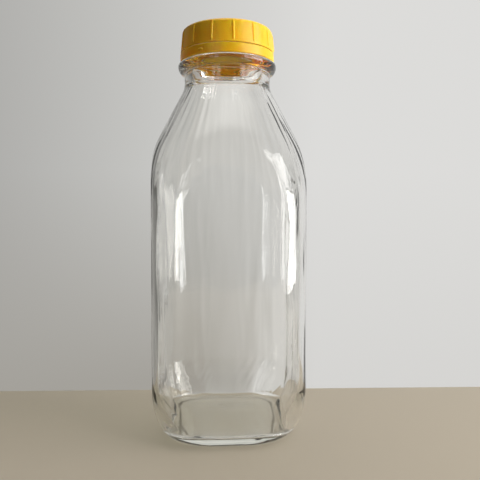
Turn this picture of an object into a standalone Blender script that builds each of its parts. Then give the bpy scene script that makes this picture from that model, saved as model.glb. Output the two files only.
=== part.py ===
"""One quart glass milk bottle with a screw cap, in metres, +Z up, origin under the middle of the base.

The bottle's flat sides face -Y, +X, +Y and -X. The cap, its liner and the tamper band share the Z axis.
"""

from math import cos, pi, radians, sin, sqrt, tan

import bmesh
import bpy

MM = 0.001

# Body: a square section with rounded corners and faintly crowned sides.
BODY_HALF = 41.45 * MM
BODY_CORNER = 21.0 * MM
BODY_CROWN = 0.65 * MM
WALL = 3.0 * MM
SHOULDER_WALL = 4.4 * MM

# Heel and base.
HEEL_INSET = 11.1 * MM
HEEL_HEIGHT = 28.6 * MM
BASE_CORNER = 24.0 * MM
BEARING_WIDTH = 3.0 * MM
PUSH_UP = 1.0 * MM
FLOOR_Z = 5.7 * MM
FLOOR_CROWN = 0.9 * MM
FLOOR_HALF = 33.5 * MM
FLOOR_CORNER = 22.0 * MM
FLOOR_FILLET = 2.0 * MM
INNER_HEEL_TOP = 29.0 * MM
INNER_HEEL_BOW = 1.5

# Shoulder: a convex arc, a cone and a concave fillet that ends at the straight neck.
NECK_RADIUS = 24.0 * MM
NECK_FOOT_Z = 194.3 * MM
NECK_FILLET = 10.4 * MM
INNER_NECK_RISE = 3.0 * MM
CONE_HALF_ANGLE = radians(27.9)
SHOULDER_ARC = 79.6 * MM
ARRIS_BLEND = 5.0 * MM

# Finish: everything above the neck that the closure works against.
BORE_RADIUS = 20.0 * MM
BEAD_RADIUS = 27.5 * MM
BEAD_FOOT_Z = 199.3 * MM
BEAD_TOP_Z = 205.5 * MM
BEAD_ROUND = 1.2 * MM
LOCK_RING_RADIUS = 24.6 * MM
LOCK_RING_Z = 208.6 * MM
LOCK_RING_HALF = 0.4 * MM
FINISH_RADIUS = 22.6 * MM
RIM_Z = 220.7 * MM
LIP_ROUND = 0.8 * MM

# Screw thread, shared by glass and cap: the cap's ridges lie midway between the glass's.
THREAD_STARTS = 4
THREAD_PITCH = 3.6 * MM
THREAD_LEAD = THREAD_STARTS * THREAD_PITCH
THREAD_FOOT_HALF = 0.9 * MM
THREAD_CREST_HALF = 0.35 * MM
THREAD_FADE = radians(14)
GLASS_THREAD_CREST = 23.75 * MM
GLASS_THREAD_Z = 213.1 * MM
GLASS_THREAD_SPAN = radians(120)
CAP_THREAD_CREST = 22.95 * MM
CAP_THREAD_Z = 213.2 * MM
CAP_THREAD_SPAN = radians(105)

# Closure.
GAP = 0.3 * MM
SCORE_Z = 211.0 * MM
SCORE_GAP = 0.4 * MM
CAP_TOP_Z = 223.7 * MM
CAP_FOOT_RADIUS = 26.2 * MM
CAP_TOP_RADIUS = 25.2 * MM
CAP_ROUND = 2.0 * MM
CAP_BORE = 24.4 * MM
CAP_PANEL = 1.4 * MM
LINER_THICKNESS = 1.0 * MM
LINER_RADIUS = 23.7 * MM
RIB_COUNT = 14
RIB_WIDTH = 1.0 * MM
RIB_HEIGHT = 0.45 * MM
RIB_FOOT_Z = 212.4 * MM
FIRST_RIB = radians(4.7)
BAND_RADIUS = 26.25 * MM
BAND_BORE = 25.0 * MM
BAND_LIP_RADIUS = 24.0 * MM
NUB_SIZE = (2.6 * MM, 1.4 * MM, 1.1 * MM)
NUB_AZIMUTH = radians(-35)
NUB_Z = 208.1 * MM

# Facets.
RING_POINTS = 60
CAP_STEPS = 70
RIDGE_STEPS = 16
ARC_STEPS = 8
CONE_STEPS = 3
FILLET_STEPS = 4
HEEL_STEPS = 7
INNER_HEEL_STEPS = 6
EMBED = 0.5 * MM
MERGE = 0.00001

# Worked out from the above.
SKIRT_Z = SCORE_Z + SCORE_GAP / 2
BAND_TOP_Z = SCORE_Z - SCORE_GAP / 2
BAND_FOOT_Z = BEAD_TOP_Z + GAP
LINER_Z = RIM_Z + GAP
CORNER_REACH = (BODY_HALF - BODY_CORNER) * sqrt(2) + BODY_CORNER
FRONT = -pi / 2


def clear_scene():
    for obj in list(bpy.data.objects):
        bpy.data.objects.remove(obj, do_unlink=True)


def new_collection(name):
    collection = bpy.data.collections.new(name)
    bpy.context.scene.collection.children.link(collection)
    return collection


def principled(name, colour, roughness, transmission=0.0):
    material = bpy.data.materials.new(name)
    material.use_nodes = True
    shader = material.node_tree.nodes["Principled BSDF"]
    shader.inputs["Base Color"].default_value = (*colour, 1.0)
    shader.inputs["Roughness"].default_value = roughness
    shader.inputs["Metallic"].default_value = 0.0
    shader.inputs["Transmission Weight"].default_value = transmission
    material.diffuse_color = (*colour, 1.0)
    return material


def clear_glass():
    return principled("clear_glass", (0.90, 0.94, 0.91), 0.03, transmission=1.0)


def yellow_plastic():
    return principled("yellow_plastic", (0.84, 0.52, 0.02), 0.38)


def band_plastic():
    return principled("band_plastic", (0.82, 0.50, 0.02), 0.40)


def liner_foam():
    return principled("liner_foam", (0.82, 0.52, 0.06), 0.75)


def object_from_bmesh(name, bm, collection, material=None):
    """The bmesh as an object of its own, smooth except at its sharp edges."""
    mesh = bpy.data.meshes.new(name)
    bm.to_mesh(mesh)
    bm.free()
    mesh.shade_smooth()
    mesh.set_sharp_from_angle(angle=radians(35))
    obj = bpy.data.objects.new(name, mesh)
    collection.objects.link(obj)
    if material is not None:
        mesh.materials.append(material)
    return obj


def as_helper(obj):
    obj.hide_render = True
    obj.display_type = "WIRE"
    return obj


def join_with(target, helper):
    boolean = target.modifiers.new("join_" + helper.name, "BOOLEAN")
    boolean.operation = "UNION"
    boolean.solver = "EXACT"
    boolean.object = helper


def rounded_square_radius(angle, half, corner, crown):
    """Distance from the axis to a rounded square of that half width, its sides crowned outwards."""
    near = max(abs(cos(angle)), abs(sin(angle)))
    far = min(abs(cos(angle)), abs(sin(angle)))
    straight = half - corner
    across = half * far / near
    if across <= straight:
        return (half + crown * cos(pi * across / (2 * straight)) ** 2) / near
    middle = straight * (near + far)
    return middle + sqrt(middle**2 - 2 * straight**2 + corner**2)


def smooth_least(first, second, blend):
    """The lesser of two lengths, rounded over where they are within blend of each other."""
    if blend <= 0:
        return min(first, second)
    closeness = max(blend - abs(first - second), 0) / blend
    return min(first, second) - closeness**2 * blend / 4


def smooth_share(low, high, value):
    """0 at low and below, 1 at high and above, with an eased run between."""
    share = min(max((value - low) / (high - low), 0), 1)
    return share * share * (3 - 2 * share)


def square_ring(z, half, corner, crown=0.0, limit=None, blend=0.0):
    """One ring of the body: a rounded square, kept inside a circle of radius limit."""
    points = []
    for i in range(RING_POINTS):
        angle = 2 * pi * i / RING_POINTS
        radius = rounded_square_radius(angle, half, corner, crown)
        if limit is not None:
            radius = smooth_least(radius, limit, blend)
        points.append((radius * cos(angle), radius * sin(angle), z))
    return points


def round_ring(z, radius):
    turns = [2 * pi * i / RING_POINTS for i in range(RING_POINTS)]
    return [(radius * cos(a), radius * sin(a), z) for a in turns]


def shoulder_profile():
    """(radius, height, slope, blend) from the straight body up to the neck, slope measured from vertical."""
    cone_top = NECK_RADIUS + NECK_FILLET * (1 - cos(CONE_HALF_ANGLE))
    cone_top_z = NECK_FOOT_Z - NECK_FILLET * sin(CONE_HALF_ANGLE)
    cone_foot = CORNER_REACH - SHOULDER_ARC * (1 - cos(CONE_HALF_ANGLE))
    cone_foot_z = cone_top_z - (cone_foot - cone_top) / tan(CONE_HALF_ANGLE)
    arc_z = cone_foot_z - SHOULDER_ARC * sin(CONE_HALF_ANGLE)
    points = []
    for i in range(ARC_STEPS + 1):
        share = i / ARC_STEPS
        slope = CONE_HALF_ANGLE * share
        radius = CORNER_REACH - SHOULDER_ARC * (1 - cos(slope))
        points.append((radius, arc_z + SHOULDER_ARC * sin(slope), slope, ARRIS_BLEND * share))
    for i in range(1, CONE_STEPS):
        share = i / CONE_STEPS
        radius = cone_foot + (cone_top - cone_foot) * share
        height = cone_foot_z + (cone_top_z - cone_foot_z) * share
        points.append((radius, height, CONE_HALF_ANGLE, ARRIS_BLEND))
    for i in range(FILLET_STEPS + 1):
        slope = CONE_HALF_ANGLE * (FILLET_STEPS - i) / FILLET_STEPS
        radius = NECK_RADIUS + NECK_FILLET * (1 - cos(slope))
        points.append((radius, NECK_FOOT_Z - NECK_FILLET * sin(slope), slope, ARRIS_BLEND))
    return points


def heel_rings():
    """Outer rings from the bearing ring round the heel to the straight body."""
    rings = []
    for i in range(HEEL_STEPS + 1):
        turn = pi / 2 * (1 - i / HEEL_STEPS)
        share = 1 - cos(turn)
        half = BODY_HALF - HEEL_INSET * share
        corner = BODY_CORNER + (BASE_CORNER - BODY_CORNER) * share
        rings.append(square_ring(HEEL_HEIGHT * (1 - sin(turn)), half, corner, BODY_CROWN * (1 - share)))
    return rings


def base_rings():
    """Rings of the underside, from near the middle of the push-up out to the bearing ring."""
    inner_half = BODY_HALF - HEEL_INSET - BEARING_WIDTH
    rings = []
    for share in (0.25, 0.5, 0.75):
        height = PUSH_UP * cos(pi / 2 * share) ** 2
        rings.append(square_ring(height, inner_half * share, BASE_CORNER * share * 0.9))
    rings.append(square_ring(0.0, inner_half, BASE_CORNER * 0.9))
    return rings


def finish_profile():
    """(radius, height) up the outside of the finish, from above the neck's foot to the lip."""
    return [
        (NECK_RADIUS, BEAD_FOOT_Z),
        (NECK_RADIUS + BEAD_ROUND * 0.6, BEAD_FOOT_Z + BEAD_ROUND * 0.6),
        (BEAD_RADIUS - BEAD_ROUND, BEAD_FOOT_Z + BEAD_ROUND),
        (BEAD_RADIUS - BEAD_ROUND * 0.3, BEAD_FOOT_Z + BEAD_ROUND * 1.7),
        (BEAD_RADIUS, BEAD_FOOT_Z + BEAD_ROUND * 2.6),
        (BEAD_RADIUS, BEAD_TOP_Z - BEAD_ROUND),
        (BEAD_RADIUS - BEAD_ROUND * 0.3, BEAD_TOP_Z - BEAD_ROUND * 0.3),
        (BEAD_RADIUS - BEAD_ROUND, BEAD_TOP_Z),
        (FINISH_RADIUS + GAP, BEAD_TOP_Z),
        (FINISH_RADIUS + GAP, LOCK_RING_Z - LOCK_RING_HALF * 2.5),
        (LOCK_RING_RADIUS, LOCK_RING_Z - LOCK_RING_HALF),
        (LOCK_RING_RADIUS, LOCK_RING_Z + LOCK_RING_HALF),
        (FINISH_RADIUS, LOCK_RING_Z + LOCK_RING_HALF * 4),
        (FINISH_RADIUS, RIM_Z - LIP_ROUND * 1.4),
        (FINISH_RADIUS - LIP_ROUND * 0.3, RIM_Z - LIP_ROUND * 0.3),
        (FINISH_RADIUS - LIP_ROUND, RIM_Z),
        (BORE_RADIUS + LIP_ROUND, RIM_Z),
        (BORE_RADIUS + LIP_ROUND * 0.3, RIM_Z - LIP_ROUND * 0.3),
        (BORE_RADIUS, RIM_Z - LIP_ROUND),
    ]


def shoulder_wall(height, foot_z):
    """Wall thickness, which grows up the shoulder and settles to the neck's."""
    rise = (height - foot_z) / (NECK_FOOT_Z - foot_z)
    wall = WALL + (SHOULDER_WALL - WALL) * smooth_share(0.25, 0.85, rise)
    neck_wall = NECK_RADIUS - BORE_RADIUS
    return wall + (neck_wall - wall) * smooth_share(0.85, 1.0, rise)


def inner_shoulder_rings():
    """Rings of the hollow from the neck's foot, which is higher inside than outside, down to the body."""
    profile = shoulder_profile()
    foot_z = profile[0][1]
    rings = []
    for radius, height, slope, blend in reversed(profile):
        limit = radius - shoulder_wall(height, foot_z) / cos(slope)
        rise = INNER_NECK_RISE * smooth_share(foot_z, NECK_FOOT_Z - NECK_FILLET / 2, height)
        half = BODY_HALF - WALL
        corner = BODY_CORNER - WALL
        rings.append(square_ring(height + rise, half, corner, BODY_CROWN, limit, blend))
    return rings


def inner_rings():
    """Rings of the hollow, from the neck's foot down to near the middle of the floor."""
    rings = inner_shoulder_rings()
    half = BODY_HALF - WALL
    corner = BODY_CORNER - WALL
    side_half = FLOOR_HALF + FLOOR_FILLET / 2
    side_z = FLOOR_Z + FLOOR_FILLET
    for i in range(INNER_HEEL_STEPS + 1):
        share = i / INNER_HEEL_STEPS
        inset = (half - side_half) * share**INNER_HEEL_BOW
        height = INNER_HEEL_TOP + (side_z - INNER_HEEL_TOP) * share
        turned_corner = corner + (FLOOR_CORNER - corner) * share
        rings.append(square_ring(height, half - inset, turned_corner, BODY_CROWN * (1 - share)))
    for share, rise in ((1.0, 0.3), (0.95, 0.0)):
        height = FLOOR_Z + FLOOR_FILLET * rise
        rings.append(square_ring(height, FLOOR_HALF * share, FLOOR_CORNER * share))
    for share in (0.6, 0.3):
        height = FLOOR_Z + FLOOR_CROWN * (1 - share**2)
        rings.append(square_ring(height, FLOOR_HALF * share, FLOOR_CORNER * share))
    return rings


def loft(rings, first_z, last_z):
    """A closed skin over the rings in turn, ended by a point on the axis at each end."""
    bm = bmesh.new()
    rows = [[bm.verts.new(point) for point in ring] for ring in rings]
    for row, above in zip(rows, rows[1:]):
        for i in range(RING_POINTS):
            j = (i + 1) % RING_POINTS
            bm.faces.new((row[i], row[j], above[j], above[i]))
    first = bm.verts.new((0, 0, first_z))
    last = bm.verts.new((0, 0, last_z))
    for i in range(RING_POINTS):
        j = (i + 1) % RING_POINTS
        bm.faces.new((first, rows[0][j], rows[0][i]))
        bm.faces.new((last, rows[-1][i], rows[-1][j]))
    bmesh.ops.recalc_face_normals(bm, faces=bm.faces)
    return bm


def thread_ridge(bm, crest, foot, start_angle, start_z, span):
    """One helical ridge of trapezoid section, whose crest fades into the wall at both ends."""
    rows = []
    for i in range(RIDGE_STEPS + 1):
        turned = span * i / RIDGE_STEPS
        angle = start_angle + turned
        z = start_z + THREAD_LEAD * turned / (2 * pi)
        fade = min(turned, span - turned, THREAD_FADE) / THREAD_FADE
        reach = foot + (crest - foot) * (0.15 + 0.85 * sin(fade * pi / 2))
        corners = (
            (foot, z - THREAD_FOOT_HALF),
            (reach, z - THREAD_CREST_HALF),
            (reach, z + THREAD_CREST_HALF),
            (foot, z + THREAD_FOOT_HALF),
        )
        rows.append([bm.verts.new((r * cos(angle), r * sin(angle), h)) for r, h in corners])
    for row, ahead in zip(rows, rows[1:]):
        for i in range(4):
            j = (i + 1) % 4
            bm.faces.new((row[i], row[j], ahead[j], ahead[i]))
    bm.faces.new(rows[0])
    bm.faces.new(rows[-1])


def thread(name, collection, crest, foot, start_z, span):
    """All starts of one thread, on the helix that both threads share."""
    bm = bmesh.new()
    lag = 2 * pi * (start_z - GLASS_THREAD_Z) / THREAD_LEAD
    for i in range(THREAD_STARTS):
        thread_ridge(bm, crest, foot, 2 * pi * i / THREAD_STARTS + lag, start_z, span)
    bmesh.ops.recalc_face_normals(bm, faces=bm.faces)
    return as_helper(object_from_bmesh(name, bm, collection))


def glass_bottle(parts, helpers):
    """The blown bottle: one wall from the bearing ring up to the lip and down the inside to the floor."""
    rings = base_rings() + heel_rings()
    profile = shoulder_profile()
    rings += [square_ring((HEEL_HEIGHT + profile[0][1]) / 2, BODY_HALF, BODY_CORNER, BODY_CROWN)]
    for radius, height, _, blend in profile:
        rings.append(square_ring(height, BODY_HALF, BODY_CORNER, BODY_CROWN, radius, blend))
    rings += [round_ring(height, radius) for radius, height in finish_profile()]
    rings += inner_rings()
    bm = loft(rings, PUSH_UP, FLOOR_Z + FLOOR_CROWN)
    bottle = object_from_bmesh("glass_bottle", bm, parts, clear_glass())
    foot = FINISH_RADIUS - EMBED
    ridges = thread("glass_thread", helpers, GLASS_THREAD_CREST, foot, GLASS_THREAD_Z, GLASS_THREAD_SPAN)
    join_with(bottle, ridges)
    return bottle


def turned(name, profile, steps, parts, material):
    """A solid of revolution about Z; the profile starts at the top and runs down its outer side."""
    mesh = bpy.data.meshes.new(name)
    edges = [(i, i + 1) for i in range(len(profile) - 1)]
    if profile[0][0] > 0:
        edges.append((len(profile) - 1, 0))
    mesh.from_pydata([(radius, 0, height) for radius, height in profile], edges, [])
    obj = bpy.data.objects.new(name, mesh)
    parts.objects.link(obj)
    mesh.materials.append(material)
    screw = obj.modifiers.new("turn", "SCREW")
    screw.axis = "Z"
    screw.angle = 2 * pi
    screw.steps = steps
    screw.render_steps = steps
    screw.use_merge_vertices = True
    screw.merge_threshold = MERGE
    screw.use_smooth_shade = True
    return obj


def cap_wall_radius(height):
    """Outer radius of the cap's tapered skirt at a height."""
    share = (height - SKIRT_Z) / (CAP_TOP_Z - CAP_ROUND - SKIRT_Z)
    return CAP_FOOT_RADIUS + (CAP_TOP_RADIUS - CAP_FOOT_RADIUS) * share


def top_round(steps):
    """(radius, height) over the cap's top edge, from the panel down to the skirt."""
    points = []
    for i in range(steps + 1):
        turn = pi / 2 * (1 - i / steps)
        radius = CAP_TOP_RADIUS - CAP_ROUND * (1 - cos(turn))
        points.append((radius, CAP_TOP_Z - CAP_ROUND * (1 - sin(turn))))
    return points


def cap_ribs(helpers):
    """Upright grip ribs, each an upright plate whose outer edge follows the skirt."""
    bm = bmesh.new()
    crown_z = CAP_TOP_Z - CAP_ROUND
    outline = [
        (cap_wall_radius(crown_z) - EMBED, crown_z + CAP_ROUND * 0.6),
        (cap_wall_radius(crown_z) - EMBED, RIB_FOOT_Z),
        (cap_wall_radius(RIB_FOOT_Z), RIB_FOOT_Z),
        (cap_wall_radius(RIB_FOOT_Z) + RIB_HEIGHT, RIB_FOOT_Z + RIB_HEIGHT),
        (cap_wall_radius(crown_z) + RIB_HEIGHT, crown_z - RIB_HEIGHT),
        (cap_wall_radius(crown_z) + RIB_HEIGHT * 0.6, crown_z + CAP_ROUND * 0.25),
    ]
    for i in range(RIB_COUNT):
        angle = FRONT + FIRST_RIB + 2 * pi * i / RIB_COUNT
        along = (cos(angle), sin(angle))
        sides = []
        for offset in (-RIB_WIDTH / 2, RIB_WIDTH / 2):
            points = [
                (r * along[0] - offset * along[1], r * along[1] + offset * along[0], z)
                for r, z in outline
            ]
            sides.append([bm.verts.new(point) for point in points])
        for side in sides:
            bm.faces.new(side)
        for j in range(len(outline)):
            k = (j + 1) % len(outline)
            bm.faces.new((sides[0][j], sides[0][k], sides[1][k], sides[1][j]))
    bmesh.ops.recalc_face_normals(bm, faces=bm.faces)
    return as_helper(object_from_bmesh("cap_ribs", bm, helpers))


def cap_shell(parts, helpers, pivot):
    """The moulded cap: skirt, rounded top edge, panel, grip ribs and an inside thread."""
    panel_z = CAP_TOP_Z - CAP_PANEL
    profile = [(0.0, CAP_TOP_Z)] + top_round(5)
    profile += [
        (CAP_FOOT_RADIUS, SKIRT_Z),
        (CAP_BORE + 0.2 * MM, SKIRT_Z),
        (CAP_BORE, SKIRT_Z + 1.0 * MM),
        (CAP_BORE - 0.1 * MM, panel_z - 0.5 * MM),
        (CAP_BORE - 0.6 * MM, panel_z),
        (0.0, panel_z),
    ]
    local = [(radius, height - SKIRT_Z) for radius, height in profile]
    shell = turned("cap_shell", local, CAP_STEPS, parts, yellow_plastic())
    shell.parent = pivot
    join_with(shell, cap_ribs(helpers))
    foot = CAP_BORE + EMBED
    ridges = thread("cap_thread", helpers, CAP_THREAD_CREST, foot, CAP_THREAD_Z, CAP_THREAD_SPAN)
    ridges.rotation_euler.z = 2 * pi * (THREAD_PITCH / 2) / THREAD_LEAD
    join_with(shell, ridges)
    return shell


def cap_liner(parts, pivot):
    """The sealing wad between the cap's panel and the lip, its edges eased."""
    ease = 0.2 * MM
    foot = LINER_Z - SKIRT_Z
    top = foot + LINER_THICKNESS
    profile = [
        (0.0, top),
        (LINER_RADIUS - ease, top),
        (LINER_RADIUS, top - ease),
        (LINER_RADIUS, foot + ease),
        (LINER_RADIUS - ease, foot),
        (0.0, foot),
    ]
    liner = turned("cap_liner", profile, CAP_STEPS, parts, liner_foam())
    liner.parent = pivot
    return liner


def band_nub(helpers):
    """The small lying bead on the outside of the band."""
    bm = bmesh.new()
    bmesh.ops.create_uvsphere(bm, u_segments=12, v_segments=8, radius=0.5)
    nub = as_helper(object_from_bmesh("band_nub", bm, helpers))
    azimuth = FRONT + NUB_AZIMUTH
    nub.scale = NUB_SIZE
    nub.rotation_euler.z = azimuth + pi / 2
    reach = BAND_RADIUS - NUB_SIZE[1] * 0.15
    nub.location = (reach * cos(azimuth), reach * sin(azimuth), NUB_Z)
    return nub


def tamper_band(parts, helpers):
    """The ring below the score line; its inner lip hooks under the glass's locking ring."""
    height = BAND_TOP_Z - BAND_FOOT_Z
    ease = 0.2 * MM
    profile = [
        (BAND_RADIUS - ease, height),
        (BAND_RADIUS, height - ease),
        (BAND_RADIUS, ease),
        (BAND_RADIUS - ease, 0.0),
        (BAND_LIP_RADIUS + ease, 0.0),
        (BAND_LIP_RADIUS, 0.8 * MM),
        (BAND_BORE, 2.1 * MM),
        (BAND_BORE, height),
    ]
    band = turned("tamper_band", profile, CAP_STEPS, parts, band_plastic())
    band.location.z = BAND_FOOT_Z
    join_with(band, band_nub(helpers))
    return band


def main():
    clear_scene()
    parts = new_collection("glass_milk_bottle")
    helpers = new_collection("helpers")
    pivot = bpy.data.objects.new("cap_axis", None)
    pivot.location.z = SKIRT_Z
    parts.objects.link(pivot)
    glass_bottle(parts, helpers)
    cap_shell(parts, helpers, pivot)
    cap_liner(parts, pivot)
    tamper_band(parts, helpers)
    bpy.context.view_layer.update()


main()
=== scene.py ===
"""Looks of the one quart glass milk bottle, around the CAD frame.

The glass, the yellow screw cap, the liner in the cap and the tamper band below it.
"""

from math import cos, exp, pi, radians, sin, sqrt, tan

import bmesh
import bpy
import numpy as np
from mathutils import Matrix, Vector, noise


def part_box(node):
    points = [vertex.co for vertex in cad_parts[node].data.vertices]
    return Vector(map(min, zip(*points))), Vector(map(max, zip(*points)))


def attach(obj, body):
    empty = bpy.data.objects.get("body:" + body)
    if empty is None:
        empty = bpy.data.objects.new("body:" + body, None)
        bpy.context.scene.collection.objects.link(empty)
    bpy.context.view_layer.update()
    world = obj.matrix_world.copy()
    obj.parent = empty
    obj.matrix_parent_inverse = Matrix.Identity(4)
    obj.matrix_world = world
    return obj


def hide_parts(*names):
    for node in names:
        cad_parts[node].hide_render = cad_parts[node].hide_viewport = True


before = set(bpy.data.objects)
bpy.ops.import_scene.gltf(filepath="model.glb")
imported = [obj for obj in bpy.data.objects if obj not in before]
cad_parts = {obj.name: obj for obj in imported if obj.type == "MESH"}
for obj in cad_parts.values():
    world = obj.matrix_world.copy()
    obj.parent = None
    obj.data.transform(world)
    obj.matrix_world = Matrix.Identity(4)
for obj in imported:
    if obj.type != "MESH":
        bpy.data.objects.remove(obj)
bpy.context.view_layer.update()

MM = 0.001
FRONT = -pi / 2

# Levels and widths read from the CAD nodes.
BOTTLE_LOW, BOTTLE_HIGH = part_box("glass_bottle")
CAP_LOW, CAP_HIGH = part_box("cap_shell")
BAND_LOW, BAND_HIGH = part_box("tamper_band")
LINER_LOW, LINER_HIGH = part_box("cap_liner")
RIM_Z = BOTTLE_HIGH.z
CAP_TOP_Z = CAP_HIGH.z
SKIRT_Z = CAP_LOW.z

# Body section, as in the CAD: a rounded square with faintly crowned sides.
BODY_CROWN = 0.65 * MM
BODY_HALF = BOTTLE_HIGH.x - BODY_CROWN
BODY_CORNER = 21.0 * MM
WALL = 3.0 * MM
SHOULDER_WALL = 4.4 * MM
INNER_NECK_RISE = 3.0 * MM

# Heel and base.
HEEL_INSET = 11.1 * MM
HEEL_HEIGHT = 28.6 * MM
BASE_CORNER = 24.0 * MM
BEARING_WIDTH = 3.0 * MM
PUSH_UP = 1.0 * MM
FLOOR_Z = 5.7 * MM
FLOOR_CROWN = 0.9 * MM
FLOOR_HALF = 33.5 * MM
FLOOR_CORNER = 22.0 * MM
FLOOR_FILLET = 2.0 * MM
INNER_HEEL_TOP = 29.0 * MM
INNER_HEEL_BOW = 1.5

# Shoulder and neck.
NECK_RADIUS = 24.0 * MM
NECK_FOOT_Z = 194.3 * MM
NECK_FILLET = 10.4 * MM
CONE_HALF_ANGLE = radians(27.9)
SHOULDER_ARC = 79.6 * MM
ARRIS_BLEND = 5.0 * MM

# Finish.
BORE_RADIUS = 20.0 * MM
BEAD_RADIUS = 27.5 * MM
BEAD_Z = 203.9 * MM
BEAD_FOOT_Z = 199.3 * MM
BEAD_TOP_Z = BAND_LOW.z - 0.3 * MM
LOCK_RING_RADIUS = 24.6 * MM
LOCK_RING_Z = 208.6 * MM
FINISH_RADIUS = 22.6 * MM
THREAD_PITCH = 3.6 * MM
THREAD_LEAD = 4 * THREAD_PITCH
THREAD_FOOT_HALF = 0.9 * MM
THREAD_CREST_HALF = 0.35 * MM
THREAD_FADE = radians(14)
GLASS_THREAD_CREST = 23.75 * MM
GLASS_THREAD_Z = 213.1 * MM
GLASS_THREAD_SPAN = radians(120)
CAP_THREAD_CREST = 22.95 * MM
CAP_THREAD_Z = 213.2 * MM
CAP_THREAD_SPAN = radians(105)

# Closure.
CAP_FOOT_RADIUS = 26.2 * MM
CAP_TOP_RADIUS = 25.2 * MM
CAP_ROUND = 2.0 * MM
CAP_BORE = 24.4 * MM
CAP_PANEL = 1.4 * MM
PANEL_RECESS = 0.25 * MM
RIB_COUNT = 14
RIB_HALF = 0.5 * MM
RIB_HEIGHT = 0.45 * MM
RIB_FOOT_Z = 212.5 * MM
RIB_TOP_Z = 221.4 * MM
FIRST_RIB = radians(4.7)
SCORE_EASE = 0.5 * MM
BAND_RADIUS = 26.25 * MM
BAND_BORE = 25.0 * MM
BAND_LIP_RADIUS = 24.0 * MM
NUB_HALF = (1.5 * MM, 0.62 * MM)
NUB_PROUD = 0.55 * MM
NUB_AZIMUTH = radians(-35)
NUB_Z = 208.1 * MM

# Blown glass: each wave's depth, its spread in three directions and its seed.
SLOW_WAVE = (0.34 * MM, (26 * MM, 26 * MM, 60 * MM), 1)
QUICK_WAVE = (0.10 * MM, (9 * MM, 9 * MM, 34 * MM), 2)
SHOULDER_WAVE = (0.15 * MM, (3.2 * MM, 46 * MM, 1), 3)
CORNER_WAVE = (0.15 * MM, (4.2 * MM, 34 * MM, 1), 7)
HEEL_WAVE = (0.18 * MM, (3.2 * MM, 14 * MM, 1), 4)
FLOOR_WAVE = (0.05 * MM, (15 * MM, 9 * MM, 1), 8)
PEEL_WAVES = [
    (0.05 * MM, (15 * MM, 15 * MM, 30 * MM), 5),
    (0.032 * MM, (4.2 * MM, 4.2 * MM, 26 * MM), 6),
    (0.006 * MM, (2.2 * MM, 2.2 * MM, 2.6 * MM), 9),
]
AROUND_RADIUS = 60 * MM
HEEL_SLANT = 0.9
PEEL_RADIUS = 30 * MM
PEEL_Z = 150 * MM
SEAM_PROUD = 0.07 * MM
SEAM_HALF = 0.28 * MM
SEAM_REACH = 42 * MM

# Mesh fineness.
GLASS_COLUMNS = 256
LINER_COLUMNS = 160
BAND_COLUMNS = 260
BODY_STEP = 3.0 * MM
OUTER_SHOULDER_STEP = 1.8 * MM
INNER_SHOULDER_STEP = 2.2 * MM
FINISH_STEP = 0.5 * MM
FINISH_EASE = 0.9 * MM
CAP_STEP = 0.62 * MM
BAND_STEP = 0.25 * MM
LINER_STEP = 0.8 * MM
HEEL_STEPS = 26
INNER_HEEL_STEPS = 18
FILLET_STEPS = 7
NECK_STEPS = 10

# Materials: colours run from deep to bright, then worn.
GLASS_IOR = 1.52
GLASS_TINT = [(0.3, (0.998, 0.996, 0.988)), (0.7, (0.992, 0.989, 0.978))]
GLASS_HAZE = [(0.48, 0.0), (0.78, 0.045)]
GLASS_SHADOW = (0.86, 0.87, 0.85)
GLASS_DEPTH = (0.86, 0.90, 0.78)
GLASS_DENSITY = 6.0
PLASTIC_IOR = 1.5
CAP_YELLOW = ((0.80, 0.42, 0.006), (0.86, 0.475, 0.010), (0.90, 0.60, 0.10))
BAND_YELLOW = ((0.80, 0.415, 0.006), (0.86, 0.47, 0.010), (0.90, 0.60, 0.10))
LINER_YELLOW = [(0.35, (0.98, 0.47, 0.02)), (0.7, (0.94, 0.43, 0.015))]
SCATTER_RADIUS = (0.75, 0.5, 0.08)
SCATTER_SCALE = 0.006

# Stage and light: the table's left, right, front and back edges, and the room's brightness by direction.
TABLE_EDGES = (-0.55, 0.55, -0.65, 0.066)
TABLE_TURN = -0.0391
TABLE_COLOUR = (0.35, 0.305, 0.24)
WINDOW_DISTANCE = 1.1
WINDOW_CENTRE_Z = 0.11
DAYLIGHT = (1.0, 0.99, 0.965)
SKYLIGHT = (0.95, 0.975, 1.0)
KEY = ((44, 92), (-8, 46), 7.4, DAYLIGHT)
WINDOWS = [
    ("right_near", (37, 44), (-8, 36), 5.0, DAYLIGHT),
    ("right_middle", (48, 59), (-8, 38), 3.0, DAYLIGHT),
    ("right_low", (61, 84), (-8, 11), 10.0, DAYLIGHT),
    ("right_high", (61, 84), (12, 38), 4.0, DAYLIGHT),
    ("left_low", (-42, -34), (-8, 20), 1.6, SKYLIGHT),
    ("left_near", (-30, -21), (-8, 4), 4.0, SKYLIGHT),
    ("left_high", (-30, -21), (6, 24), 1.8, SKYLIGHT),
]
ROOM_DIM = (0.062, 0.057, 0.048)
CEILING = (1.9, 1.88, 1.8)
WALL_STOPS = [
    (0.10, (0.10, 0.098, 0.09)),
    (0.30, (0.40, 0.395, 0.38)),
    (0.44, (0.54, 0.538, 0.52)),
    (0.60, (0.72, 0.715, 0.70)),
]
SHADED_WALL = (0.37, 0.355, 0.325)
DIFFUSE_SHARE = 0.72
LEFT_STOPS = [(0.02, 0.0), (0.30, 1.0), (0.49, 1.0), (0.58, 0.15)]
LOW_STOPS = [(0.36, 1.0), (0.54, 0.0)]
BEHIND_STOPS = [(0.50, 0.0), (0.66, 1.0)]
CEILING_STOPS = [(0.90, 0.0), (0.97, 1.0)]

# Camera, from the photograph's viewing angle.
CAMERA_PLACE = (-14.7 * MM, -317.8 * MM, 119.1 * MM)
CAMERA_PITCH = -0.0387
CAMERA_TURN = -0.0299 - 0.0391
CAMERA_LENS = 41.7


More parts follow.
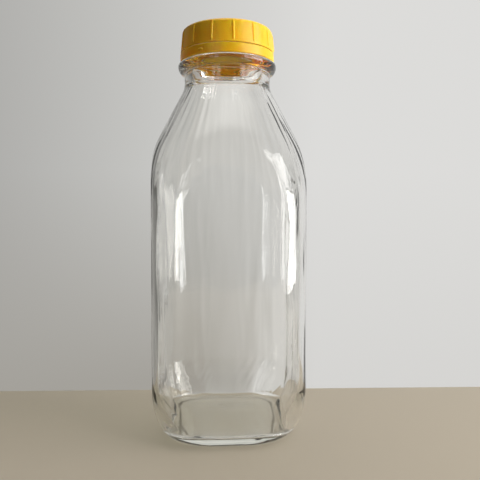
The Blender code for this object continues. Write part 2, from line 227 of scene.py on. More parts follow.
# ---------------------------------------------------------------- outlines


def eased(points, reach, steps=5):
    """The open outline with each inner corner rounded over, from reach before it to reach after."""
    out = [points[0]]
    for before, corner, after in zip(points, points[1:], points[2:]):
        start = toward(corner, before, reach)
        end = toward(corner, after, reach)
        for i in range(steps + 1):
            t = i / steps
            near = [start[k] + (corner[k] - start[k]) * t for k in range(2)]
            far = [corner[k] + (end[k] - corner[k]) * t for k in range(2)]
            out.append(tuple(near[k] + (far[k] - near[k]) * t for k in range(2)))
    out.append(points[-1])
    return out


def toward(start, end, reach):
    """The point reach along from start to end, and no further than 0.45 of the way."""
    length = sqrt(sum((end[k] - start[k]) ** 2 for k in range(2)))
    share = min(reach / length, 0.45)
    return tuple(start[k] + (end[k] - start[k]) * share for k in range(2))


def resampled(points, spacing):
    """The outline with long runs divided, so that no step is longer than spacing."""
    out = [points[0]]
    for before, after in zip(points, points[1:]):
        length = sqrt(sum((after[k] - before[k]) ** 2 for k in range(2)))
        count = max(1, int(length / spacing + 0.5))
        for i in range(1, count + 1):
            out.append(tuple(before[k] + (after[k] - before[k]) * i / count for k in range(2)))
    return out


def smooth_step(low, high, value):
    share = np.clip((value - low) / (high - low), 0, 1)
    return share * share * (3 - 2 * share)


# ---------------------------------------------------------------- the bottle's form


def rounded_square(angles, half, corner, crown):
    """Distance from the axis to the crowned rounded square, at each angle."""
    near = np.maximum(abs(np.cos(angles)), abs(np.sin(angles)))
    far = np.minimum(abs(np.cos(angles)), abs(np.sin(angles)))
    straight = half - corner
    across = half * far / near
    flat = (half + crown * np.cos(pi * np.minimum(across / straight, 1) / 2) ** 2) / near
    middle = straight * (near + far)
    arc = middle + np.sqrt(np.maximum(middle**2 - 2 * straight**2 + corner**2, 0))
    return np.where(across <= straight, flat, arc)


def smooth_least(first, second, blend):
    """The lesser of two lengths, rounded over where they are within blend of each other."""
    if blend <= 0:
        return np.minimum(first, second)
    closeness = np.maximum(blend - abs(first - second), 0) / blend
    return np.minimum(first, second) - closeness**2 * blend / 4


def square_row(z, half, corner, crown=0.0, limit=None, blend=0.0):
    angles = np.arange(GLASS_COLUMNS) * 2 * pi / GLASS_COLUMNS
    radius = rounded_square(angles, half, corner, crown)
    if limit is not None:
        radius = smooth_least(radius, limit, blend)
    return radius, np.full(GLASS_COLUMNS, z)


def shoulder_outline(spacing):
    """(radius, height, slope, blend) from the straight body to the neck."""
    reach = (BODY_HALF - BODY_CORNER) * sqrt(2) + BODY_CORNER
    cone_top = NECK_RADIUS + NECK_FILLET * (1 - cos(CONE_HALF_ANGLE))
    cone_top_z = NECK_FOOT_Z - NECK_FILLET * sin(CONE_HALF_ANGLE)
    cone_foot = reach - SHOULDER_ARC * (1 - cos(CONE_HALF_ANGLE))
    cone_foot_z = cone_top_z - (cone_foot - cone_top) / tan(CONE_HALF_ANGLE)
    arc_z = cone_foot_z - SHOULDER_ARC * sin(CONE_HALF_ANGLE)
    points = []
    steps = int(SHOULDER_ARC * CONE_HALF_ANGLE / spacing)
    for i in range(steps + 1):
        slope = CONE_HALF_ANGLE * i / steps
        radius = reach - SHOULDER_ARC * (1 - cos(slope))
        points.append((radius, arc_z + SHOULDER_ARC * sin(slope), slope, ARRIS_BLEND * i / steps))
    steps = int((cone_top_z - cone_foot_z) / spacing)
    for i in range(1, steps):
        share = i / steps
        radius = cone_foot + (cone_top - cone_foot) * share
        height = cone_foot_z + (cone_top_z - cone_foot_z) * share
        points.append((radius, height, CONE_HALF_ANGLE, ARRIS_BLEND))
    for i in range(NECK_STEPS + 1):
        slope = CONE_HALF_ANGLE * (NECK_STEPS - i) / NECK_STEPS
        radius = NECK_RADIUS + NECK_FILLET * (1 - cos(slope))
        points.append((radius, NECK_FOOT_Z - NECK_FILLET * sin(slope), slope, ARRIS_BLEND))
    return points


def base_rows():
    """Underside, from near the middle out to the bearing ring: a shallow dome with a soft edge."""
    inner_half = BODY_HALF - HEEL_INSET - BEARING_WIDTH
    edge_z = 0.12 * MM
    rows = []
    for share in (0.08, 0.2, 0.33, 0.46, 0.58, 0.68, 0.77, 0.85, 0.91, 0.96, 1.0):
        height = edge_z + (PUSH_UP - edge_z) * cos(pi / 2 * share) ** 2
        rows.append(square_row(height, inner_half * share, BASE_CORNER * 0.9 * share))
    rows.append(square_row(0.0, inner_half + BEARING_WIDTH * 0.5, BASE_CORNER * 0.95))
    return rows


def heel_rows():
    """The quarter ellipse from the bearing ring up to the straight body."""
    rows = []
    for i in range(HEEL_STEPS + 1):
        turn = pi / 2 * (1 - i / HEEL_STEPS)
        share = 1 - cos(turn)
        half = BODY_HALF - HEEL_INSET * share
        corner = BODY_CORNER + (BASE_CORNER - BODY_CORNER) * share
        rows.append(square_row(HEEL_HEIGHT * (1 - sin(turn)), half, corner, BODY_CROWN * (1 - share)))
    return rows


def helix_relief(angles, z, start_z, span, first_lag, starts=4):
    """0 to 1 over the thread's ridges: how far each point of a row is up a ridge's side."""
    relief = np.zeros_like(angles)
    for i in range(starts):
        begin = 2 * pi * i / starts + first_lag
        turned = (angles - begin) % (2 * pi)
        centre = start_z + THREAD_LEAD * turned / (2 * pi)
        off = abs(z - centre)
        side = 1 - smooth_step(THREAD_CREST_HALF, THREAD_FOOT_HALF, off)
        fade = smooth_step(0, THREAD_FADE, np.minimum(turned, span - turned))
        relief = np.maximum(relief, np.where(turned <= span, side * fade, 0))
    return relief


def finish_rows():
    """Neck, transfer bead, locking ring, thread and lip, and down inside to the neck's foot."""
    outline = [
        (NECK_RADIUS, NECK_FOOT_Z),
        (NECK_RADIUS, BEAD_FOOT_Z),
        (NECK_RADIUS + 0.3 * MM, BEAD_FOOT_Z + 0.6 * MM),
        (BEAD_RADIUS - 1.0 * MM, BEAD_FOOT_Z + 1.4 * MM),
        (BEAD_RADIUS, BEAD_Z - 1.2 * MM),
        (BEAD_RADIUS, BEAD_TOP_Z - 0.8 * MM),
        (BEAD_RADIUS - 1.3 * MM, BEAD_TOP_Z),
        (FINISH_RADIUS + 0.3 * MM, BEAD_TOP_Z),
        (FINISH_RADIUS + 0.3 * MM, LOCK_RING_Z - 1.0 * MM),
        (LOCK_RING_RADIUS, LOCK_RING_Z - 0.5 * MM),
        (LOCK_RING_RADIUS, LOCK_RING_Z + 0.5 * MM),
        (FINISH_RADIUS, LOCK_RING_Z + 1.6 * MM),
        (FINISH_RADIUS, RIM_Z),
        (BORE_RADIUS, RIM_Z),
        (BORE_RADIUS, NECK_FOOT_Z + INNER_NECK_RISE + 1.0 * MM),
    ]
    outline = resampled(eased(outline, FINISH_EASE, 5), FINISH_STEP)
    angles = np.arange(GLASS_COLUMNS) * 2 * pi / GLASS_COLUMNS
    rows = []
    for radius, z in outline:
        row = np.full(GLASS_COLUMNS, radius)
        on_wall = LOCK_RING_Z + 1.2 * MM < z < RIM_Z - 0.6 * MM and radius > BORE_RADIUS + 1.5 * MM
        if on_wall:
            relief = helix_relief(angles, z, GLASS_THREAD_Z, GLASS_THREAD_SPAN, 0.0)
            row = row + (GLASS_THREAD_CREST - FINISH_RADIUS) * relief
        rows.append((row, np.full(GLASS_COLUMNS, z)))
    return rows[1:]


def shoulder_wall(height, foot_z):
    """Wall thickness, which grows up the shoulder and settles to the neck's."""
    rise = (height - foot_z) / (NECK_FOOT_Z - foot_z)
    thick = WALL + (SHOULDER_WALL - WALL) * smooth_step(0.25, 0.85, rise)
    return thick + (NECK_RADIUS - BORE_RADIUS - thick) * smooth_step(0.85, 1.0, rise)


def inner_rows():
    """The hollow, from the neck's foot down to near the middle of the floor."""
    outline = shoulder_outline(INNER_SHOULDER_STEP)
    foot_z = outline[0][1]
    half = BODY_HALF - WALL
    corner = BODY_CORNER - WALL
    rows = []
    for radius, height, slope, blend in reversed(outline):
        wall = shoulder_wall(height, foot_z)
        limit = radius - wall / cos(slope)
        rise = INNER_NECK_RISE * smooth_step(foot_z, NECK_FOOT_Z - NECK_FILLET / 2, height)
        rows.append(square_row(height + rise, half, corner, BODY_CROWN, limit, blend))
    steps = int((foot_z - INNER_HEEL_TOP) / BODY_STEP)
    for i in range(1, steps):
        height = foot_z + (INNER_HEEL_TOP - foot_z) * i / steps
        rows.append(square_row(height, half, corner, BODY_CROWN))
    side_half = FLOOR_HALF + FLOOR_FILLET / 2
    side_z = FLOOR_Z + FLOOR_FILLET
    for i in range(INNER_HEEL_STEPS + 1):
        share = i / INNER_HEEL_STEPS
        inset = (half - side_half) * share**INNER_HEEL_BOW
        height = INNER_HEEL_TOP + (side_z - INNER_HEEL_TOP) * share
        turned = corner + (FLOOR_CORNER - corner) * share
        rows.append(square_row(height, half - inset, turned, BODY_CROWN * (1 - share)))
    for i in range(1, FILLET_STEPS + 1):
        turn = pi / 2 * i / FILLET_STEPS
        inset = FLOOR_FILLET / 2 * (1 - cos(turn))
        height = side_z - FLOOR_FILLET * sin(turn)
        rows.append(square_row(height, side_half - inset, FLOOR_CORNER))
    for share in (0.97, 0.92, 0.85, 0.76, 0.66, 0.55, 0.44, 0.33, 0.22, 0.1):
        height = FLOOR_Z + FLOOR_CROWN * (1 - share**2)
        rows.append(square_row(height, FLOOR_HALF * share, FLOOR_CORNER * share))
    return rows


def outer_rows():
    """The outside, from near the middle of the base up to the neck's foot."""
    rows = base_rows() + heel_rows()
    outline = shoulder_outline(OUTER_SHOULDER_STEP)
    foot_z = outline[0][1]
    steps = int((foot_z - HEEL_HEIGHT) / BODY_STEP)
    for i in range(1, steps):
        height = HEEL_HEIGHT + (foot_z - HEEL_HEIGHT) * i / steps
        rows.append(square_row(height, BODY_HALF, BODY_CORNER, BODY_CROWN))
    for radius, height, _, blend in outline:
        rows.append(square_row(height, BODY_HALF, BODY_CORNER, BODY_CROWN, radius, blend))
    return rows


# ---------------------------------------------------------------- blown glass: how its wall wanders


def wave(kind, point):
    """How far a smooth wave of the given depth, spread and seed stands up at a point."""
    depth, spread, seed = kind
    spot = Vector((point[0] / spread[0], point[1] / spread[1], point[2] / spread[2]))
    return depth * noise.noise(spot + Vector((seed * 13.7, seed * 7.1, seed * 3.3)))


def inner_ripple(x, y, z, angle):
    """How far the inner surface stands off its plain form, in metres, towards the axis."""
    body = float(smooth_step(188 * MM, 176 * MM, z) * smooth_step(4 * MM, 9 * MM, z))
    shoulder = float(smooth_step(112 * MM, 145 * MM, z) * smooth_step(196 * MM, 184 * MM, z))
    heel = float(smooth_step(42 * MM, 22 * MM, z) * smooth_step(5 * MM, 9 * MM, z))
    amount = body * (wave(SLOW_WAVE, (x, y, z)) + wave(QUICK_WAVE, (x, y, z)))
    around = angle * AROUND_RADIUS
    amount += shoulder * wave(SHOULDER_WAVE, (around, z, 0))
    towards_corner = abs(sin(2 * angle))
    edge = float(smooth_step(0.30, 0.75, towards_corner) * smooth_step(24 * MM, 50 * MM, z))
    amount += body * edge * wave(CORNER_WAVE, (around, z, 0))
    slant = around + HEEL_SLANT * z
    heel *= float(smooth_step(0.25, 0.80, towards_corner))
    amount += heel * wave(HEEL_WAVE, (slant, z, 0))
    return amount


def outer_ripple(x, y, z):
    """The mould's faint orange peel on the outside, in metres."""
    body = float(smooth_step(198 * MM, 190 * MM, z) * smooth_step(1 * MM, 6 * MM, z))
    return body * sum(wave(kind, (x, y, z)) for kind in PEEL_WAVES)


def seam_height(angle, z):
    """The blow mould's parting line, up the middle of the two side faces."""
    if z > NECK_FOOT_Z + 4 * MM or z < 2 * MM:
        return 0.0
    off = abs((angle + pi / 2) % pi - pi / 2) * SEAM_REACH
    return SEAM_PROUD * exp(-((off / SEAM_HALF) ** 2))


def glass_mesh():
    """The bottle's one closed skin: outside, finish and hollow, with the glass's ripple on it."""
    outer = outer_rows()
    finish = finish_rows()
    inner = inner_rows()
    rows = outer + finish + inner
    angles = np.arange(GLASS_COLUMNS) * 2 * pi / GLASS_COLUMNS
    first_inner = len(outer) + len(finish)
    bm = bmesh.new()
    columns = []
    for index, (radius, height) in enumerate(rows):
        row = []
        for i, angle in enumerate(angles):
            r = float(radius[i])
            z = float(height[i])
            x = r * cos(angle)
            y = r * sin(angle)
            if index >= first_inner:
                r -= inner_ripple(x, y, z, angle)
            elif index < len(outer) and (r > PEEL_RADIUS or z > PEEL_Z):
                r += outer_ripple(x, y, z) + seam_height(angle, z)
            if index >= first_inner and z < FLOOR_Z + FLOOR_FILLET:
                z += wave(FLOOR_WAVE, (x, y, 0))
            row.append(bm.verts.new((r * cos(angle), r * sin(angle), z)))
        columns.append(row)
    for row, above in zip(columns, columns[1:]):
        for i in range(GLASS_COLUMNS):
            j = (i + 1) % GLASS_COLUMNS
            bm.faces.new((row[i], row[j], above[j], above[i]))
    low = bm.verts.new((0, 0, PUSH_UP))
    high = bm.verts.new((0, 0, FLOOR_Z + FLOOR_CROWN))
    for i in range(GLASS_COLUMNS):
        j = (i + 1) % GLASS_COLUMNS
        bm.faces.new((low, columns[0][j], columns[0][i]))
        bm.faces.new((high, columns[-1][i], columns[-1][j]))
    bmesh.ops.recalc_face_normals(bm, faces=bm.faces)
    return bm


# ---------------------------------------------------------------- the closure's form


def rib_columns():
    """Angles round the cap, close together across each rib and wide apart between ribs."""
    period = 2 * pi / RIB_COUNT
    steps = (-0.9, -0.66, -0.52, -0.42, -0.30, -0.15, 0.0, 0.15, 0.30, 0.42, 0.52, 0.66, 0.9)
    near = [s * MM / CAP_FOOT_RADIUS * 1.15 for s in steps]
    gap = period - near[-1] + near[0]
    wide = [near[-1] + gap * i / 10 for i in range(1, 10)]
    angles = []
    for k in range(RIB_COUNT):
        angles += [FRONT + FIRST_RIB + k * period + a for a in near + wide]
    return np.array(angles)


def rib_relief(angles, z):
    """0 to 1 over the grip ribs at one height."""
    period = 2 * pi / RIB_COUNT
    off = (angles - FRONT - FIRST_RIB + period / 2) % period - period / 2
    across = abs(off) * CAP_FOOT_RADIUS
    side = 1 - smooth_step(RIB_HALF * 0.55, RIB_HALF * 1.3, across)
    foot = smooth_step(RIB_FOOT_Z - 0.15 * MM, RIB_FOOT_Z + 0.25 * MM, z)
    full = 1 - smooth_step(RIB_TOP_Z - 0.5 * MM, RIB_TOP_Z + 0.1 * MM, z)
    over = 1 - smooth_step(CAP_TOP_Z - 0.9 * MM, CAP_TOP_Z - 0.2 * MM, z)
    return side * foot * np.maximum(full, 0.35 * over)


def turned_rows(outline, angles, relief=None):
    """Rows of points round Z; relief gives what is added to each row's radius and height."""
    rows = []
    for index, (radius, z) in enumerate(outline):
        row = np.full(len(angles), radius)
        height = np.full(len(angles), z)
        if relief is not None:
            added, raised = relief(index, radius, z, angles)
            row = row + added
            height = height + raised
        rows.append((row, height))
    return rows


def skin(rows, angles, low_centre=None, high_centre=None, ring=False):
    """A closed skin over the rows: ended by centre points, or joined round as a ring."""
    bm = bmesh.new()
    lattice = []
    for radius, height in rows:
        lattice.append([
            bm.verts.new((float(r) * cos(a), float(r) * sin(a), float(z)))
            for r, z, a in zip(radius, height, angles)
        ])
    pairs = list(zip(lattice, lattice[1:]))
    if ring:
        pairs.append((lattice[-1], lattice[0]))
    count = len(angles)
    for row, above in pairs:
        for i in range(count):
            j = (i + 1) % count
            bm.faces.new((row[i], row[j], above[j], above[i]))
    for centre, row in ((low_centre, lattice[0]), (high_centre, lattice[-1])):
        if centre is None:
            continue
        point = bm.verts.new((0, 0, centre))
        for i in range(count):
            bm.faces.new((point, row[i], row[(i + 1) % count]))
    bmesh.ops.recalc_face_normals(bm, faces=bm.faces)
    return bm


def bridge_height(angles, count, half_width, height, phase):
    """Stubs of the torn bridges along an edge."""
    period = 2 * pi / count
    off = (angles - phase + period / 2) % period - period / 2
    across = abs(off) * CAP_FOOT_RADIUS
    return height * (1 - smooth_step(half_width * 0.4, half_width, across))


def cap_mesh():
    """The cap: recessed top panel, ribbed side, skirt with bridge stubs, inside thread and seal ring."""
    crown_z = CAP_TOP_Z - CAP_ROUND
    arc = []
    for i in range(9):
        turn = pi / 2 * (1 - i / 8)
        arc.append((CAP_TOP_RADIUS - CAP_ROUND * (1 - cos(turn)), crown_z + CAP_ROUND * sin(turn)))
    inner_z = CAP_TOP_Z - CAP_PANEL
    top = [
        (1.4 * MM, CAP_TOP_Z - PANEL_RECESS - 0.25 * MM),
        (1.8 * MM, CAP_TOP_Z - PANEL_RECESS),
        (21.2 * MM, CAP_TOP_Z - PANEL_RECESS),
        (21.9 * MM, CAP_TOP_Z),
    ]
    side = [
        (CAP_FOOT_RADIUS, SKIRT_Z),
        (CAP_BORE + 0.1 * MM, SKIRT_Z),
        (CAP_BORE, SKIRT_Z + 1.0 * MM),
        (CAP_BORE - 0.1 * MM, inner_z - 0.5 * MM),
        (CAP_BORE - 0.6 * MM, inner_z),
        (15.6 * MM, inner_z),
        (15.3 * MM, inner_z - 0.18 * MM),
        (14.7 * MM, inner_z - 0.18 * MM),
        (14.4 * MM, inner_z),
        (1.0 * MM, inner_z),
    ]
    foot = eased([arc[-1]] + side[:3], SCORE_EASE, 6)[1:-1]
    outline = eased(top, 0.3 * MM, 3) + arc[1:] + foot + eased(side[1:], 0.28 * MM, 4)[1:]
    outline = resampled(outline, CAP_STEP)
    angles = rib_columns()
    lag = 2 * pi * (CAP_THREAD_Z - GLASS_THREAD_Z + THREAD_PITCH / 2) / THREAD_LEAD
    turning = max(range(len(outline)), key=lambda k: outline[k][0] - outline[k][1])

    def relief(index, radius, z, angles):
        if index <= turning:
            outside = RIB_HEIGHT * rib_relief(angles, z) if radius > 23.4 * MM else 0 * angles
            return outside, 0 * angles
        wall = radius > CAP_BORE - 0.4 * MM and z < inner_z - 0.8 * MM
        if wall and z > SKIRT_Z + 0.9 * MM:
            inward = CAP_THREAD_CREST - CAP_BORE
            return inward * helix_relief(angles, z, CAP_THREAD_Z, CAP_THREAD_SPAN, lag), 0 * angles
        if z < SKIRT_Z + 0.05 * MM:
            return 0 * angles, -bridge_height(angles, 7, 0.8 * MM, 0.14 * MM, 0.2)
        return 0 * angles, 0 * angles

    return skin(turned_rows(outline, angles, relief), angles, outline[0][1], outline[-1][1])


def band_mesh():
    """The tamper band: a plain ring with a hooked lip inside, bridge stubs and one lying bead."""
    low = BAND_LOW.z
    high = BAND_HIGH.z
    outline = [
        (BAND_RADIUS, low + 2.4 * MM),
        (BAND_RADIUS, low),
        (BAND_LIP_RADIUS + 0.15 * MM, low),
        (BAND_LIP_RADIUS, low + 0.8 * MM),
        (BAND_BORE, low + 2.1 * MM),
        (BAND_BORE, high),
        (BAND_RADIUS, high),
        (BAND_RADIUS, low + 2.5 * MM),
    ]
    outline = eased(outline[:6], 0.28 * MM, 4)[:-1] + eased(outline[5:], SCORE_EASE, 6)[1:]
    outline = resampled(outline, BAND_STEP)
    angles = np.sort(np.concatenate([
        np.arange(BAND_COLUMNS) * 2 * pi / BAND_COLUMNS,
        FRONT + NUB_AZIMUTH + np.linspace(-1, 1, 32) * 2.2 * MM / BAND_RADIUS + 2 * pi,
    ]) % (2 * pi))
    angles = angles[np.append(True, np.diff(angles) > 1e-5)]

    def relief(index, radius, z, angles):
        raised = 0 * angles
        if z > high - 0.02 * MM:
            raised = bridge_height(angles, 7, 0.8 * MM, 0.12 * MM, 0.2)
        if radius < BAND_RADIUS - 0.1 * MM:
            return 0 * angles, raised
        off = (angles - FRONT - NUB_AZIMUTH + pi) % (2 * pi) - pi
        along = abs(off * BAND_RADIUS) / NUB_HALF[0]
        up = abs(z - NUB_Z) / NUB_HALF[1]
        dome = np.clip(1 - along**2.6 - up**2.0, 0, 1) ** 0.5
        return NUB_PROUD * dome, raised

    return skin(turned_rows(outline, angles, relief), angles, ring=True)


def liner_mesh():
    """The wad, with the groove that the lip has pressed into its underside."""
    low = LINER_LOW.z
    high = LINER_HIGH.z
    edge = LINER_HIGH.x
    press = (FINISH_RADIUS + BORE_RADIUS) / 2
    outline = [
        (1.0 * MM, low),
        (press - 1.6 * MM, low),
        (press - 0.9 * MM, low + 0.16 * MM),
        (press + 0.9 * MM, low + 0.16 * MM),
        (press + 1.6 * MM, low),
        (edge, low),
        (edge, high),
        (1.0 * MM, high),
    ]
    outline = resampled(eased(outline, 0.2 * MM, 3), LINER_STEP)
    angles = np.arange(LINER_COLUMNS) * 2 * pi / LINER_COLUMNS
    return skin(turned_rows(outline, angles), angles, low, high)


# ---------------------------------------------------------------- materials


def material(name):
    """An empty node material, with its nodes, links and output."""
    mat = bpy.data.materials.new(name)
    mat.use_nodes = True
    nodes = mat.node_tree.nodes
    nodes.clear()
    output = nodes.new("ShaderNodeOutputMaterial")
    return mat, nodes, mat.node_tree.links, output


def noise_node(nodes, links, coordinates, scale, detail=3.0, roughness=0.5):
    node = nodes.new("ShaderNodeTexNoise")
    node.inputs["Scale"].default_value = scale
    node.inputs["Detail"].default_value = detail
    node.inputs["Roughness"].default_value = roughness
    links.new(coordinates, node.inputs["Vector"])
    return node


def ramp_node(nodes, links, source, stops):
    """A colour ramp over source; stops are (position, grey or colour)."""
    node = nodes.new("ShaderNodeValToRGB")
    links.new(source, node.inputs["Fac"])
    ramp = node.color_ramp
    while len(ramp.elements) < len(stops):
        ramp.elements.new(0.5)
    for element, (position, colour) in zip(ramp.elements, stops):
        element.position = position
        element.color = (*colour, 1) if isinstance(colour, tuple) else (colour, colour, colour, 1)
    return node


def bump_node(nodes, links, height, strength, distance, normal=None):
    node = nodes.new("ShaderNodeBump")
    node.inputs["Strength"].default_value = strength
    node.inputs["Distance"].default_value = distance
    links.new(height, node.inputs["Height"])
    if normal is not None:
        links.new(normal, node.inputs["Normal"])
    return node


def scaled_coordinates(nodes, links, scale):
    """Object coordinates stretched by scale along each axis."""
    texture = nodes.new("ShaderNodeTexCoord")
    mapping = nodes.new("ShaderNodeMapping")
    mapping.inputs["Scale"].default_value = scale
    links.new(texture.outputs["Object"], mapping.inputs["Vector"])
    return mapping.outputs["Vector"]


def glass_material():
    """Soda-lime glass: clear, faintly green through its thickness, with handled smudges and fine ream."""
    mat, nodes, links, output = material("clear_glass")
    plain = scaled_coordinates(nodes, links, (1, 1, 1))
    tall = scaled_coordinates(nodes, links, (1, 1, 0.3))
    smudge = noise_node(nodes, links, plain, 55, 4, 0.6)
    haze = ramp_node(nodes, links, smudge.outputs["Fac"], GLASS_HAZE)
    ream = noise_node(nodes, links, tall, 260, 2, 0.5)
    bump = bump_node(nodes, links, ream.outputs["Fac"], 0.035, 0.0004)
    tint = ramp_node(nodes, links, smudge.outputs["Fac"], GLASS_TINT)
    shader = nodes.new("ShaderNodeBsdfPrincipled")
    shader.inputs["Transmission Weight"].default_value = 1.0
    shader.inputs["IOR"].default_value = GLASS_IOR
    links.new(tint.outputs["Color"], shader.inputs["Base Color"])
    links.new(haze.outputs["Color"], shader.inputs["Roughness"])
    links.new(bump.outputs["Normal"], shader.inputs["Normal"])
    clear = nodes.new("ShaderNodeBsdfTransparent")
    clear.inputs["Color"].default_value = (*GLASS_SHADOW, 1)
    path = nodes.new("ShaderNodeLightPath")
    mix = nodes.new("ShaderNodeMixShader")
    links.new(path.outputs["Is Shadow Ray"], mix.inputs["Fac"])
    links.new(shader.outputs["BSDF"], mix.inputs[1])
    links.new(clear.outputs["BSDF"], mix.inputs[2])
    links.new(mix.outputs["Shader"], output.inputs["Surface"])
    depth = nodes.new("ShaderNodeVolumeAbsorption")
    depth.inputs["Color"].default_value = (*GLASS_DEPTH, 1)
    depth.inputs["Density"].default_value = GLASS_DENSITY
    links.new(depth.outputs["Volume"], output.inputs["Volume"])
    return mat


def scatter_light(shader, weight):
    """Lets light through the yellow plastic, so that it glows a little where it is thin."""
    shader.inputs["Subsurface Weight"].default_value = weight
    shader.inputs["Subsurface Radius"].default_value = SCATTER_RADIUS
    shader.inputs["Subsurface Scale"].default_value = SCATTER_SCALE


def plastic_material(name, deep, bright, worn):
    """Moulded polyethylene: pigment that clouds a little, fine grain, and scuffs that are paler and
    rougher.
    """
    mat, nodes, links, output = material(name)
    plain = scaled_coordinates(nodes, links, (1, 1, 1))
    cloud = noise_node(nodes, links, plain, 90, 3, 0.55)
    grain = noise_node(nodes, links, plain, 2600, 3, 0.6)
    peel = noise_node(nodes, links, plain, 420, 2, 0.5)
    colour = ramp_node(nodes, links, cloud.outputs["Fac"], [(0.3, deep), (0.72, bright)])
    scratch_map = scaled_coordinates(nodes, links, (1, 1, 9))
    scratch = noise_node(nodes, links, scratch_map, 330, 5, 0.75)
    scuff = ramp_node(nodes, links, scratch.outputs["Fac"], [(0.62, 0.0), (0.74, 0.5)])
    blend = nodes.new("ShaderNodeMix")
    blend.data_type = "RGBA"
    blend.inputs[7].default_value = (*worn, 1)
    links.new(scuff.outputs["Color"], blend.inputs[0])
    links.new(colour.outputs["Color"], blend.inputs[6])
    rough = ramp_node(nodes, links, cloud.outputs["Fac"], [(0.3, 0.30), (0.7, 0.42)])
    rougher = nodes.new("ShaderNodeMath")
    rougher.operation = "MULTIPLY_ADD"
    rougher.inputs[1].default_value = 0.25
    links.new(scuff.outputs["Color"], rougher.inputs[0])
    links.new(rough.outputs["Color"], rougher.inputs[2])
    first = bump_node(nodes, links, peel.outputs["Fac"], 0.10, 0.0003)
    second = bump_node(nodes, links, grain.outputs["Fac"], 0.10, 0.00006, first.outputs["Normal"])
    shader = nodes.new("ShaderNodeBsdfPrincipled")
    shader.inputs["IOR"].default_value = PLASTIC_IOR
    scatter_light(shader, 0.85)
    links.new(blend.outputs[2], shader.inputs["Base Color"])
    links.new(rougher.outputs[0], shader.inputs["Roughness"])
    links.new(second.outputs["Normal"], shader.inputs["Normal"])
    links.new(shader.outputs["BSDF"], output.inputs["Surface"])
    return mat


def foam_material():
    """Yellow foamed wad: tiny cells and a slightly soiled face."""
    mat, nodes, links, output = material("liner_foam")
    plain = scaled_coordinates(nodes, links, (1, 1, 1))
    cells = nodes.new("ShaderNodeTexVoronoi")
    cells.inputs["Scale"].default_value = 1500
    links.new(plain, cells.inputs["Vector"])
    soil = noise_node(nodes, links, plain, 120, 4, 0.6)
    colour = ramp_node(nodes, links, soil.outputs["Fac"], LINER_YELLOW)
    bump = bump_node(nodes, links, cells.outputs["Distance"], 0.35, 0.00015)
    shader = nodes.new("ShaderNodeBsdfPrincipled")
    shader.inputs["Roughness"].default_value = 0.82
    scatter_light(shader, 0.8)
    links.new(colour.outputs["Color"], shader.inputs["Base Color"])
    links.new(bump.outputs["Normal"], shader.inputs["Normal"])
    links.new(shader.outputs["BSDF"], output.inputs["Surface"])
    return mat


def table_material():
    mat, nodes, links, output = material("stage_pale")
    shader = nodes.new("ShaderNodeBsdfPrincipled")
    shader.inputs["Base Color"].default_value = (*TABLE_COLOUR, 1)
    shader.inputs["Roughness"].default_value = 0.6
    links.new(shader.outputs["BSDF"], output.inputs["Surface"])
    return mat


# ---------------------------------------------------------------- pieces


def piece(name, bm, mat, body, node):
    """One visible piece, which rides a body of the frame and stands for a CAD node."""
    mesh = bpy.data.meshes.new(name)
    bm.to_mesh(mesh)
    bm.free()
    mesh.shade_smooth()
    mesh.materials.append(mat)
    obj = bpy.data.objects.new(name, mesh)
    bpy.context.scene.collection.objects.link(obj)
    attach(obj, body)
    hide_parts(node)


def build_bottle():
    piece("bottle_glass", glass_mesh(), glass_material(), "bottle", "glass_bottle")


def build_closure():
    yellow = plastic_material("yellow_plastic", *CAP_YELLOW)
    band = plastic_material("band_plastic", *BAND_YELLOW)
    piece("cap", cap_mesh(), yellow, "cap", "cap_shell")
    piece("band", band_mesh(), band, "band", "tamper_band")
    piece("liner", liner_mesh(), foam_material(), "liner", "cap_liner")


# ---------------------------------------------------------------- stage, light and camera


def build_stage():
    """A plain pale table whose far edge is a little way behind the bottle."""
    left, right, front, back = TABLE_EDGES
    mesh = bpy.data.meshes.new("stage_table")
    points = [(left, front, 0), (right, front, 0), (right, back, 0), (left, back, 0)]
    mesh.from_pydata(points, [], [(0, 1, 2, 3)])
    mesh.materials.append(table_material())
    table = bpy.data.objects.new("stage_table", mesh)
    table.rotation_euler = (0, 0, TABLE_TURN)
    bpy.context.scene.collection.objects.link(table)


def window(name, azimuth, elevation, radiance, colour, mirrored=True):
    """An area light that fills the given angles, in degrees, as seen from the bottle.

    A mirrored one is only seen in the glass and the gloss; the other one only lights the surfaces.
    """
    middle = Vector((0, 0, WINDOW_CENTRE_Z))
    turn = radians(sum(azimuth) / 2)
    rise = radians(sum(elevation) / 2)
    half_width = tan(radians(azimuth[1] - azimuth[0]) / 2)
    half_height = tan(radians(elevation[1] - elevation[0]) / 2)
    data = bpy.data.lights.new(name, "AREA")
    data.shape = "RECTANGLE"
    data.size = 2 * half_width * WINDOW_DISTANCE
    data.size_y = 2 * half_height * WINDOW_DISTANCE
    data.energy = radiance * pi * data.size * data.size_y
    data.color = colour
    obj = bpy.data.objects.new(name, data)
    bpy.context.scene.collection.objects.link(obj)
    away = Vector((sin(turn) * cos(rise), -cos(turn) * cos(rise), sin(rise)))
    obj.location = middle + away * WINDOW_DISTANCE
    obj.rotation_euler = (-away).to_track_quat("-Z", "Y").to_euler()
    obj.visible_diffuse = not mirrored
    obj.visible_glossy = mirrored
    obj.visible_transmission = mirrored
    obj.visible_camera = mirrored


def math_node(nodes, links, operation, first, second):
    """A maths node's output; each input is a number or another node's output."""
    node = nodes.new("ShaderNodeMath")
    node.operation = operation
    for socket, value in zip(node.inputs, (first, second)):
        if isinstance(value, float):
            socket.default_value = value
        else:
            links.new(value, socket)
    return node.outputs[0]


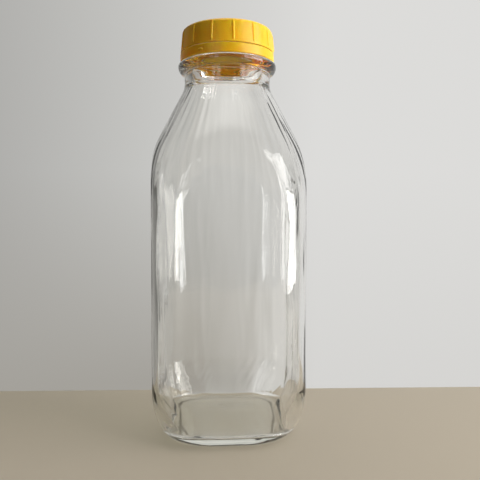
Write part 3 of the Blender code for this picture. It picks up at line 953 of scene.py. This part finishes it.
def colour_mix(nodes, links, factor, first, second):
    node = nodes.new("ShaderNodeMix")
    node.data_type = "RGBA"
    links.new(factor, node.inputs[0])
    for socket, value in ((node.inputs[6], first), (node.inputs[7], second)):
        if isinstance(value, tuple):
            socket.default_value = (*value, 1)
        else:
            links.new(value, socket)
    return node.outputs[2]


def build_world():
    """A pale wall behind, brighter to the right, and a dim room in front under a pale ceiling."""
    world = bpy.data.worlds.new("room")
    bpy.context.scene.world = world
    world.use_nodes = True
    nodes = world.node_tree.nodes
    links = world.node_tree.links
    texture = nodes.new("ShaderNodeTexCoord")
    split = nodes.new("ShaderNodeSeparateXYZ")
    links.new(texture.outputs["Generated"], split.inputs[0])
    across, along, up = (math_node(nodes, links, "MULTIPLY_ADD", side, 0.5) for side in split.outputs)
    for side in (across, along, up):
        side.node.inputs[2].default_value = 0.5
    wall = ramp_node(nodes, links, across, WALL_STOPS)
    left = ramp_node(nodes, links, across, LEFT_STOPS)
    behind = ramp_node(nodes, links, along, BEHIND_STOPS)
    low = ramp_node(nodes, links, up, LOW_STOPS)
    height = ramp_node(nodes, links, up, CEILING_STOPS)
    room = colour_mix(nodes, links, behind.outputs["Color"], ROOM_DIM, wall.outputs["Color"])
    shade = math_node(nodes, links, "MULTIPLY", low.outputs["Color"], left.outputs["Color"])
    shaded = colour_mix(nodes, links, shade, room, SHADED_WALL)
    whole = colour_mix(nodes, links, height.outputs["Color"], shaded, CEILING)
    links.new(whole, nodes["Background"].inputs["Color"])
    path = nodes.new("ShaderNodeLightPath")
    strength = math_node(nodes, links, "MULTIPLY_ADD", path.outputs["Is Diffuse Ray"], DIFFUSE_SHARE - 1)
    strength.node.inputs[2].default_value = 1.0
    links.new(strength, nodes["Background"].inputs["Strength"])


def build_light():
    for name, azimuth, elevation, radiance, colour in WINDOWS:
        window(name, azimuth, elevation, radiance, colour)
    window("key", *KEY, mirrored=False)
    build_world()


def build_camera():
    data = bpy.data.cameras.new("camera")
    data.sensor_width = 36.0
    data.lens = CAMERA_LENS
    data.clip_start = 0.01
    data.clip_end = 20.0
    camera = bpy.data.objects.new("camera", data)
    bpy.context.scene.collection.objects.link(camera)
    camera.location = CAMERA_PLACE
    camera.rotation_euler = (pi / 2 + CAMERA_PITCH, 0, CAMERA_TURN)
    bpy.context.scene.camera = camera


def set_view():
    scene = bpy.context.scene
    scene.view_settings.view_transform = "Standard"
    scene.cycles.max_bounces = 16
    scene.cycles.transmission_bounces = 16
    scene.cycles.glossy_bounces = 8


def main():
    build_camera()
    build_bottle()
    build_closure()
    build_stage()
    build_light()
    set_view()


main()
